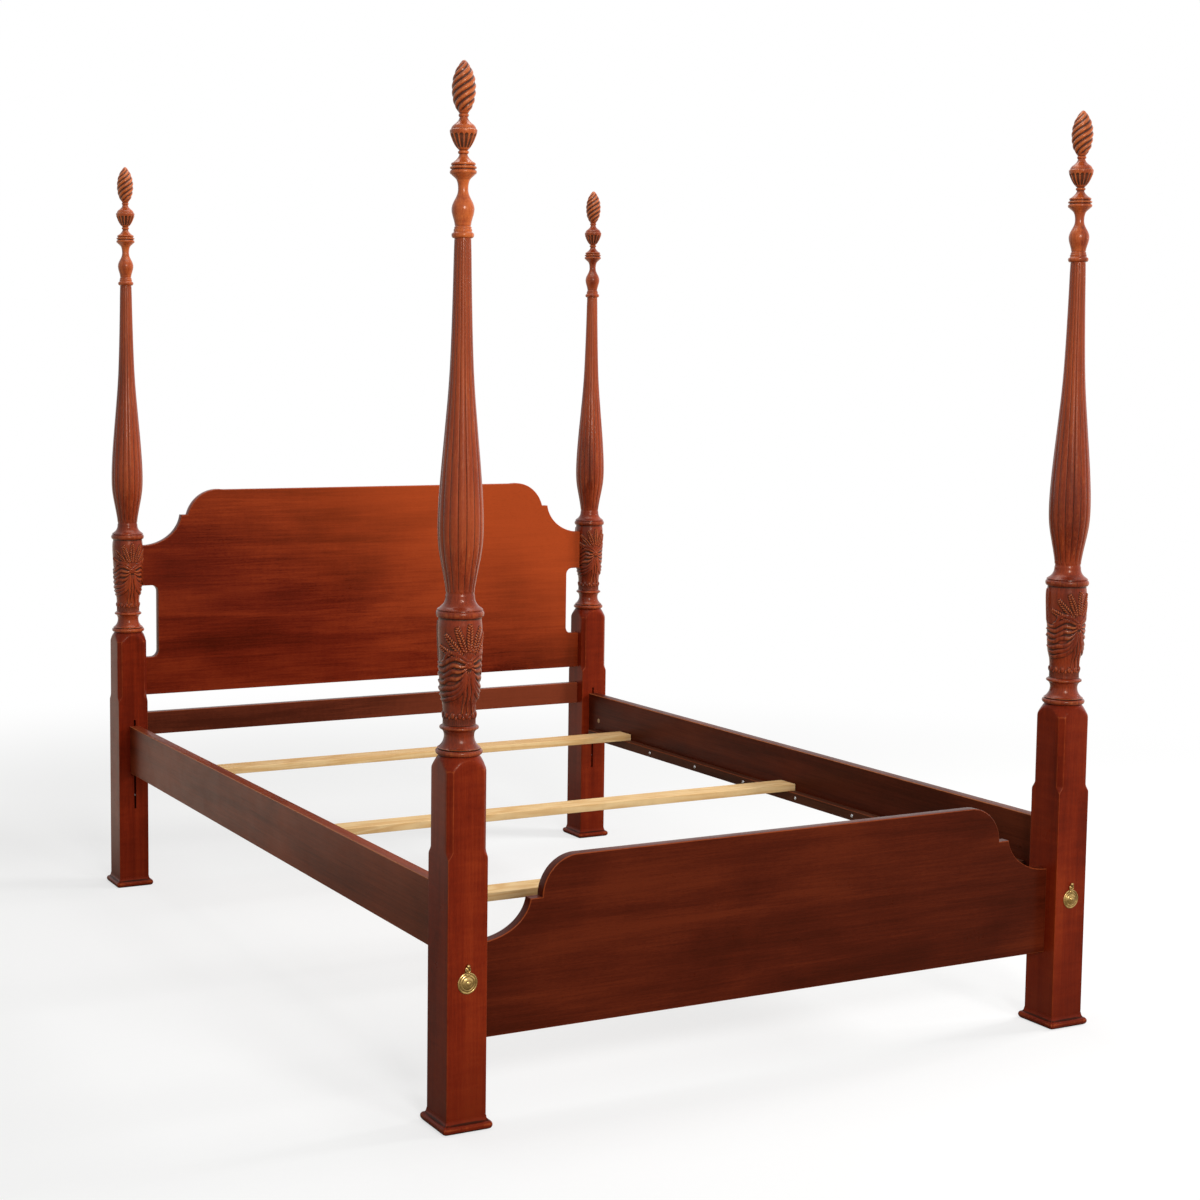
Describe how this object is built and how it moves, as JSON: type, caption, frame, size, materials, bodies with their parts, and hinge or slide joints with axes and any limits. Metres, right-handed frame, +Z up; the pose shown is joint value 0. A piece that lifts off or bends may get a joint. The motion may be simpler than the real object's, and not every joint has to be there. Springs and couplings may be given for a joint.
{
  "type": "poster bed",
  "caption": "Poster bed: turned and reeded posts on square legs with plinths, scrolled head and foot boards, hook-on side rails, loose slats and swinging bolt covers.",
  "frame": {"origin": "centre of the footprint, on the floor", "axes": "+Z up, +Y towards the headboard, +X to the right of someone standing at the foot and looking at the head"},
  "size_m": [1.69, 2.24, 2.113],
  "materials": {
    "post_mahogany": "red-brown stained mahogany, satin lacquer",
    "finial_mahogany": "warmer orange-brown stained mahogany, satin lacquer",
    "board_mahogany": "figured mahogany veneer, satin lacquer",
    "rail_mahogany": "dark stained mahogany, satin lacquer",
    "cleat_hardwood": "dark stained hardwood",
    "slat_pine": "planed, unfinished pine",
    "birch_dowel": "unfinished hardwood",
    "cover_brass": "polished, slightly aged brass",
    "zinc_steel": "zinc-plated steel"
  },
  "bodies": {
    "frame": {"cleat_screws": "zinc_steel", "finial_dowels": "birch_dowel", "foot_left_foot_plinth": "post_mahogany", "foot_left_hook_plate": "zinc_steel", "foot_left_post_block": "post_mahogany", "foot_left_post_finial": "finial_mahogany", "foot_left_post_shaft": "post_mahogany", "foot_right_foot_plinth": "post_mahogany", "foot_right_hook_plate": "zinc_steel", "foot_right_post_block": "post_mahogany", "foot_right_post_finial": "finial_mahogany", "foot_right_post_shaft": "post_mahogany", "footboard": "board_mahogany", "head_left_foot_plinth": "post_mahogany", "head_left_hook_plate": "zinc_steel", "head_left_post_block": "post_mahogany", "head_left_post_finial": "finial_mahogany", "head_left_post_shaft": "post_mahogany", "head_right_foot_plinth": "post_mahogany", "head_right_hook_plate": "zinc_steel", "head_right_post_block": "post_mahogany", "head_right_post_finial": "finial_mahogany", "head_right_post_shaft": "post_mahogany", "head_stretcher": "board_mahogany", "headboard": "board_mahogany", "hook_pins": "zinc_steel", "hook_plate_screws": "zinc_steel", "left_cleat": "cleat_hardwood", "left_cover_pin": "cover_brass", "left_side_rail": "rail_mahogany", "plinth_screws": "zinc_steel", "rail_plugs": "birch_dowel", "right_cleat": "cleat_hardwood", "right_cover_pin": "cover_brass", "right_side_rail": "rail_mahogany", "shaft_dowels": "birch_dowel"},
    "left_cover": {"left_bolt_cover": "cover_brass"},
    "right_cover": {"right_bolt_cover": "cover_brass"},
    "head_slat_body": {"head_slat": "slat_pine"},
    "middle_slat_body": {"middle_slat": "slat_pine"},
    "foot_slat_body": {"foot_slat": "slat_pine"}
  },
  "joints": [
    {"name": "left_cover_swing", "type": "hinge", "parent": "frame", "child": "left_cover", "pos_m": [-0.79, -1.1106, 0.33], "axis": [0, 1, 0], "continuous": true},
    {"name": "right_cover_swing", "type": "hinge", "parent": "frame", "child": "right_cover", "pos_m": [0.79, -1.1106, 0.33], "axis": [0, 1, 0], "continuous": true},
    {"name": "head_slat_lift", "type": "slide", "parent": "frame", "child": "head_slat_body", "axis": [0, 0, 1], "range_m": [0, 0.13]},
    {"name": "middle_slat_lift", "type": "slide", "parent": "frame", "child": "middle_slat_body", "axis": [0, 0, 1], "range_m": [0, 0.13]},
    {"name": "foot_slat_lift", "type": "slide", "parent": "frame", "child": "foot_slat_body", "axis": [0, 0, 1], "range_m": [0, 0.13]}
  ]
}
